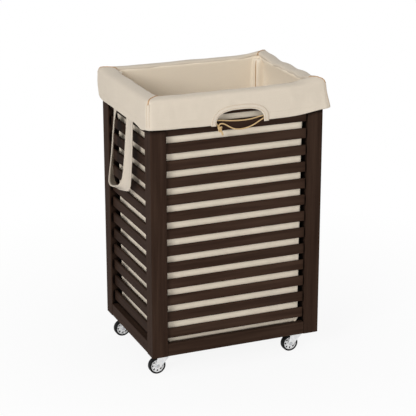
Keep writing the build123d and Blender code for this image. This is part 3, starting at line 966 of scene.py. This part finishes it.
def bag_loop():
    """Mouth point, wall point, inward direction, place and post share of each column round the bag."""
    loop = []
    for side, (half, other, along, out, start) in sides.items():
        wall = (wall_y if side in ("front", "rear") else wall_x) - wall_gap
        next_wall = (wall_x if side in ("front", "rear") else wall_y) - wall_gap
        mouth_a, mouth_b = mouth_outset(side)
        hug_a = half - post_width
        hug_b = other - post_width
        run = hug_a - corner_ease_run
        next_run = hug_b - corner_ease_run
        for share in np.linspace(-1, 1, int(2 * run / bag_column_width)):
            mouth = along * share * run + out * mouth_b
            wall_point = along * share * run + out * wall
            loop.append((mouth, wall_point, -out, start + half * (1 + (1 - corner_share) * share), 0.0))
        bend = smooth_line([
            (run, wall), (hug_a - post_gap, wall), (hug_a - 5 * post_gap, hug_b - 5.5 * post_gap),
            (next_wall, hug_b - post_gap), (next_wall, next_run),
        ], corner_steps)
        rim = [(run, mouth_b, 0)]
        for turn in np.linspace(0, math.pi / 2, mouth_turn_points):
            a = mouth_a - mouth_corner_radius * (1 - math.sin(turn))
            b = mouth_b - mouth_corner_radius * (1 - math.cos(turn))
            rim.append((a, b, 0))
        rim.append((mouth_a, next_run, 0))
        # A step a little short, so that rounding can't cost a point
        rim = along_line(np.array(rim), run_along(rim)[-1] / (len(bend) - 1) * 0.9999)
        for step in range(1, len(bend) - 1):
            mouth = along * rim[step][0] + out * rim[step][1]
            point = along * bend[step][0] + out * bend[step][1]
            near_end = min(step, len(bend) - 1 - step)
            place = start + half * (2 - corner_share + 2 * corner_share * step / len(bend))
            loop.append((mouth, point, -unit(point), place, ease(near_end / post_ease_steps)))
    return loop


# Height above the frame's top, tuck under the lip (both in mm), and share of the way to the wall
# on the free stretches and over the posts
mouth_steps = (
    (4.0, 2.4, 0.0, 0.0), (2.2, 1.5, 0.0, 0.0), (0.9, 0.3, 0.0, 0.0), (0.45, -0.1, 0.0, 0.12),
    (0.4, 0, 0.01, 0.45), (0.35, 0, 0.02, 0.78), (-1.2, 0, 0.06, 0.88), (-6.0, 0, 0.2, 0.96),
    (-16.0, 0, 0.5, 1.0), (-30.0, 0, 0.8, 1.0), (-45.0, 0, 1.0, 1.0),
)
# Share of the rim's lift that the canvas under the lip follows
lip_follow = 0.5
wall_rows = 48
bend_rows = 6
floor_rings = (0.97, 0.9, 0.75, 0.55, 0.35, 0.15, 0.03)
floor_lift = 0.2 * MM
floor_wave = 0.8 * MM
floor_wave_rate = 22
drape_depth = 2.6 * MM
drape_rate = 0.10
pleat_depth = 1.6 * MM
pleat_rate = 0.55
# The canvas hangs taut for this far below the rim, and slackens and tightens again over these runs
taut_drop = 45 * MM
slack_run = 90 * MM
floor_slack_run = 40 * MM
# Places where the hanging canvas is drawn in from the slats: place, depth and reach
wall_pulls = (
    (corner_rl + post_width, 6.0 * MM, 42 * MM),
)


def wall_fold(place, height):
    """How far the hanging canvas stands in from the slats."""
    drape = 0.5 + 0.5 * ring_noise(place, height * drape_rate, waves=11, seed=21.0)
    pleat = 0.5 + 0.5 * ring_noise(place, height * pleat_rate, waves=4, seed=33.0)
    below_rim = ease((frame_top - height - taut_drop) / slack_run)
    slack = below_rim * ease((height - bag_floor) / floor_slack_run)
    return slack * (drape_depth * drape + pleat_depth * pleat + swell(place, wall_pulls))


def make_bag():
    loop = bag_loop()
    lines = []
    for height, tuck, free, posted in mouth_steps:
        line = []
        for mouth, wall, inward, place, over_post in loop:
            share = free + (posted - free) * over_post
            spot = mouth + share * (wall - mouth) - inward * tuck * MM
            under_lip = max(0.0, tuck / mouth_steps[0][1])
            lift = under_lip * lip_follow * rim_lift(place)
            line.append(np.append(spot[:2], frame_top + height * MM + lift))
        lines.append(line)
    bend_top = bag_floor + bag_bend
    for z in np.linspace(frame_top + mouth_steps[-1][0] * MM, bend_top, wall_rows + 1)[1:]:
        lines.append([np.append((w + n * wall_fold(p, z))[:2], z) for _, w, n, p, _ in loop])
    rim = np.array(lines[-1])
    for turn in np.linspace(0, math.pi / 2, bend_rows + 1)[1:]:
        inset = bag_bend_reach * (1 - math.cos(turn))
        z = bend_top - bag_bend * math.sin(turn) + floor_lift
        lines.append([np.append((p + n * inset)[:2], z) for p, (_, _, n, _, _) in zip(rim, loop)])
    rim = np.array(lines[-1])
    for scale in floor_rings:
        line = []
        for p in rim:
            wave = floor_wave * (1 - scale) * (1 + soft_noise(*(p * floor_wave_rate * scale)))
            line.append(np.append(p[:2] * scale, p[2] + wave))
        lines.append(line)
    points = [p for line in lines for p in line]
    depth = run_along([line[0] for line in lines])
    uv = [(p, v) for v in depth for _, _, _, p, _ in loop]
    faces = grid_faces(len(lines), len(loop), closed=True)
    faces.append(tuple(range(len(points) - len(loop), len(points)))[::-1])
    made = make_object("liner_bag_canvas", points, faces, bag_canvas_painted_light, uv)
    thicken(made, canvas_thickness)
    settle(made, "liner", "canvas", "liner_bag")
    return loop, lines


bag_columns, bag_lines = make_bag()
bag_seam_first_row = 3
bag_seam_step = 3 * MM
bag_seam_radius = 1.0 * MM
bag_seam_sides = 6


def make_bag_seams():
    """A bound seam inside each corner of the bag, from the mouth to the floor."""
    beads = Gathered()
    at_corners = [index for index, column in enumerate(bag_columns) if column[4] > 0]
    per_corner = len(at_corners) // len(sides)
    for index in at_corners[per_corner // 2::per_corner]:
        inward = bag_columns[index][2]
        rows = bag_lines[bag_seam_first_row:len(mouth_steps) + wall_rows]
        line = np.array([row[index] for row in rows]) + inward * canvas_thickness
        beads.add(*tube(along_line(line, bag_seam_step), bag_seam_radius, bag_seam_sides))
    beads.make("bag_seams", piping_cotton, "liner", "canvas")


make_bag_seams()


# Carrying straps: flat canvas loops that hang from the hem and turn over at the bottom

# Points of each edge of the band in millimetres, from the front leg round to the rear leg:
# along the frame's side, above the hem, and out from where the band is sewn in
strap_front_edge = (
    (-72, 1, 0), (-71.5, -12, 0.5), (-69, -50, 0.5), (-65, -95, 0.5), (-60, -134, 1.5),
    (-55, -162, 2), (-40, -174, 1), (-14, -180, -2), (18, -188, -5), (54, -197, -6),
    (72, -171, 0), (75, -118, -1.5), (75, -66, -5.5), (74, -14, -8.5), (73, 1, -8),
)
strap_rear_edge = (
    (-32, 1, 0), (-32, -12, 0.5), (-30, -50, 2.5), (-26.5, -95, 5), (-22, -130, 7),
    (-17, -152, 9), (-6, -167, 13), (16, -175, 18.5), (36, -178, 21), (45, -168, 20.5),
    (46, -140, 15), (43, -100, 11), (39, -58, 8.5), (36, -14, 5), (34, 1, 0.8),
)
strap_steps = 10
# Section of the band in millimetres: place across it and half thickness, with a turned, stitched border
strap_section = ((-20, 0.45), (-19.4, 1.15), (-17, 1.25), (-14.6, 1.2), (-13.8, 0.75), (0, 0.7),
                 (13.8, 0.75), (14.6, 1.2), (17, 1.25), (19.4, 1.15), (20, 0.45))
strap_stitch_place = 16.4 * MM
strap_stitch_proud = 1.3 * MM
strap_sink = 2.6 * MM
strap_ripple = 0.5 * MM
strap_ripple_rate = 37
strap_back_uv = 0.05


def strap_frames(side):
    """A strap's middle line, directions across and towards the frame, and share of the full width."""
    sewn_x = half_width + cuff_reach - strap_sink

    def edge_line(edge):
        points = [(side * (sewn_x + out * MM), y * MM, hem_height + z * MM) for y, z, out in edge]
        return smooth_line(points, strap_steps)

    front, rear = edge_line(strap_front_edge), edge_line(strap_rear_edge)
    line = (front + rear) / 2
    tangents = unit(np.gradient(line, axis=0))
    across = unit(front - rear)
    share = np.linalg.norm(front - rear, axis=1) / strap_width
    return line, across, unit(np.cross(tangents, across)) * side, share


def make_strap(name, side):
    line, across, inward, share = strap_frames(side)
    ring = [(w * MM, t * MM) for w, t in strap_section]
    ring += [(w * MM, -t * MM) for w, t in reversed(strap_section)]
    reached = run_along(line)
    points = []
    uv = []
    for centre, beside, inner, size, run in zip(line, across, inward, share, reached):
        ripple = strap_ripple * soft_noise(run * strap_ripple_rate, side, 2.5)
        for width, proud in ring:
            points.append(centre + beside * width * size + inner * (proud + ripple))
            uv.append((width + (strap_back_uv if proud < 0 else 0), run))
    faces = [f if side < 0 else f[::-1] for f in grid_faces(len(line), len(ring), closed=True)]
    caps = [tuple(range(len(ring))), tuple(range(len(points) - len(ring), len(points)))[::-1]]
    faces += caps if side > 0 else [cap[::-1] for cap in caps]
    band = make_object(f"{name}_band", points, faces, webbing, uv)
    settle(band, name, "webbing", name)
    thread = Gathered()
    for place in (-strap_stitch_place, strap_stitch_place):
        row = line + across * (place * share)[:, None]
        for turned in (1, -1):
            add_stitches(thread, row + inward * turned * strap_stitch_proud, inward * turned)
    thread.make(f"{name}_stitches", pale_thread, name, "webbing")


make_strap("strap_left", -1)
make_strap("strap_right", 1)


# Drawstring: the routes of the solids that it stands for, in millimetres along the front,
# in from the tunnel and above the hem

cord_out = 6.8 * MM
cord_plane = -(half_depth + cord_out)
strand_route = (
    (-72, 0, 9), (-55, 0, 9), (-27, -0.5, 5.0), (3, -0.7, 2.6), (30, -0.5, 3.6), (55, 0, 9), (72, 0, 9),
)
loop_route = (
    (76, -0.6, 5.2), (62, -0.8, 5.0), (49, -1.4, -1.4), (36, -2.0, -8.6), (21, -2.6, -14.0), (4, -3.0, -16.6),
    (-12, -3.0, -15.4), (-24.5, -2.8, -9.6), (-34, -2.6, -3.2), (-42, -2.4, 0.6), (-49.5, -2.2, 0.4),
    (-52.5, -2.0, -5.6), (-48.5, -1.8, -11.0),
)
tail_route = (
    (-78, 1.0, 5.0), (-67, 1.0, 5.2), (-57, 0.9, 3.8), (-53.5, 0.9, -3.8), (-50.2, 0.4, -9.0),
    (-46.5, -0.8, -13.6), (-43.4, -1.4, -19.8), (-41.8, -1.6, -26.2),
)
rope_strands = 3
rope_lay = 9 * MM
strand_radius = 0.82 * MM
strand_offset = 0.70 * MM
strand_sides = 7
cord_step = 0.6 * MM
cord_resolution = 24
fray_run = 14 * MM
fray_size = 0.6


def in_frame(route):
    return [(x * MM, cord_plane + depth * MM, hem_height + height * MM) for x, depth, height in route]


def cord_line(name, route):
    """Points read along the smooth spline whose control points are the route."""
    curve = bpy.data.curves.new(name, "CURVE")
    curve.dimensions = "3D"
    spline = curve.splines.new("NURBS")
    spline.points.add(len(route) - 1)
    for point, place in zip(spline.points, in_frame(route)):
        point.co = (*place, 1)
    spline.order_u = 3
    spline.use_endpoint_u = True
    spline.resolution_u = cord_resolution
    holder = bpy.data.objects.new(name, curve)
    bpy.context.scene.collection.objects.link(holder)
    bpy.context.view_layer.update()
    mesh = bpy.data.meshes.new_from_object(holder)
    line = np.array([v.co for v in mesh.vertices], float)
    bpy.data.meshes.remove(mesh)
    bpy.data.objects.remove(holder)
    bpy.data.curves.remove(curve)
    return along_line(line, cord_step)


def twisted_rope(line, size=1.0):
    """Strands laid round a centre line; size is relative, one for all or one for each point."""
    rope = Gathered()
    across, beside = carried_frames(line)
    reached = run_along(line)
    size = np.broadcast_to(size, len(line))
    for strand in range(rope_strands):
        turn = 2 * math.pi * (reached / rope_lay + strand / rope_strands)
        offset = np.cos(turn)[:, None] * across + np.sin(turn)[:, None] * beside
        rope.add(*tube(line + strand_offset * size[:, None] * offset, strand_radius * size, strand_sides))
    return rope


def make_cord(name, route, node, frayed=False):
    line = cord_line(name, route)
    size = 1.0
    if frayed:
        left = np.linspace(len(line) * cord_step, 0, len(line))
        size = [1 + fray_size * ease(1 - run / fray_run) for run in left]
    rope = twisted_rope(line, size)
    made = rope.make(name, drawstring, "liner", "drawstring", node)


knot_turns = 120
knot_scale = 1.9 * MM
knot_depth = 0.9
knot_stretch = np.array([0.85, 1.0, 1.15])


def make_knot():
    """A small overhand knot, pulled tight."""
    centre = np.array(in_frame(loop_route)[-1])
    turns = np.linspace(0, 2 * math.pi, knot_turns)
    line = np.stack([
        np.sin(turns) + 2 * np.sin(2 * turns),
        knot_depth * np.sin(3 * turns),
        np.cos(turns) - 2 * np.cos(2 * turns),
    ], 1) * knot_scale * knot_stretch
    rope = twisted_rope(centre + line)
    return rope.make("drawstring_knot_rope", drawstring, "liner", "drawstring", "drawstring_knot")


knot = make_knot()
make_cord("drawstring_strand_rope", strand_route, "drawstring_strand")
make_cord("drawstring_loop_rope", loop_route, "drawstring_loop")
make_cord("drawstring_tail_rope", tail_route, "drawstring_tail", frayed=True)


# Floor, light and camera

floor_radius = 6.0
floor_sides = 96
floor_drop = 0.2 * MM
floor_grey = (0.86, 0.86, 0.86, 1)
floor_white_share = 0.90
floor_fade_start = 0.30
floor_fade_end = 1.1
white = (1, 1, 1, 1)
world_strength = 0.45
# Place, size and watts of each lamp
lamps = {
    "key_lamp": ((-3.75, -2.95, 2.3), 1.85, 138),
    "fill_lamp": ((0.6, -3.5, 1.1), 1.7, 17),
    "top_lamp": ((0.2, -0.6, 3.2), 2.0, 8),
}


def make_floor():
    turns = np.linspace(0, 2 * math.pi, floor_sides, endpoint=False)
    points = [(floor_radius * math.cos(t), floor_radius * math.sin(t), -floor_drop) for t in turns]
    finish = bpy.data.materials.new("floor_paper")
    finish.use_nodes = True
    tree = finish.node_tree
    tree.nodes.clear()
    paper = add_node(tree, "ShaderNodeBsdfDiffuse", Color=floor_grey)
    shining = add_node(tree, "ShaderNodeEmission", Color=white, Strength=1.0)
    place = tree.nodes.new("ShaderNodeTexCoord").outputs["Object"]
    far = add_node(tree, "ShaderNodeVectorMath", {"operation": "LENGTH"})
    tree.links.new(place, far.inputs[0])
    fade = add_node(tree, "ShaderNodeMapRange", Value=far.outputs["Value"], From_Min=floor_fade_start,
                    From_Max=floor_fade_end, To_Min=floor_white_share, To_Max=1.0)
    share = times(tree, background_rays(tree), fade.outputs[0])
    end_in_mix(tree, share, paper, shining, "ShaderNodeOutputMaterial")
    floor = make_object("studio_floor", points, [tuple(range(len(points)))], finish)


def make_world():
    world = bpy.data.worlds.new("studio")
    bpy.context.scene.world = world
    world.use_nodes = True
    tree = world.node_tree
    tree.nodes.clear()
    soft = add_node(tree, "ShaderNodeBackground", Color=white, Strength=world_strength)
    shining = add_node(tree, "ShaderNodeBackground", Color=white, Strength=1.0)
    end_in_mix(tree, background_rays(tree), soft, shining, "ShaderNodeOutputWorld")


def make_lamp(name, place, size, watts):
    data = bpy.data.lights.new(name, "AREA")
    data.shape = "DISK"
    data.size = size
    data.energy = watts
    lamp = bpy.data.objects.new(name, data)
    lamp.location = place
    lamp.rotation_mode = "QUATERNION"
    lamp.rotation_quaternion = (camera_target - Vector(place)).to_track_quat("-Z", "Y")
    bpy.context.scene.collection.objects.link(lamp)


def make_camera():
    data = bpy.data.cameras.new("camera")
    data.sensor_width = camera_sensor_mm
    data.lens = camera_lens_mm
    camera = bpy.data.objects.new("camera", data)
    back = Vector((
        math.sin(camera_azimuth) * math.cos(camera_elevation),
        -math.cos(camera_azimuth) * math.cos(camera_elevation),
        math.sin(camera_elevation),
    ))
    camera.location = camera_target + back * camera_distance
    camera.rotation_mode = "QUATERNION"
    camera.rotation_quaternion = (-back).to_track_quat("-Z", "Y")
    bpy.context.scene.collection.objects.link(camera)
    bpy.context.scene.camera = camera


make_floor()
make_world()
for lamp_name, (lamp_place, lamp_size, lamp_watts) in lamps.items():
    make_lamp(lamp_name, lamp_place, lamp_size, lamp_watts)
make_camera()
bpy.context.scene.view_settings.view_transform = "Standard"
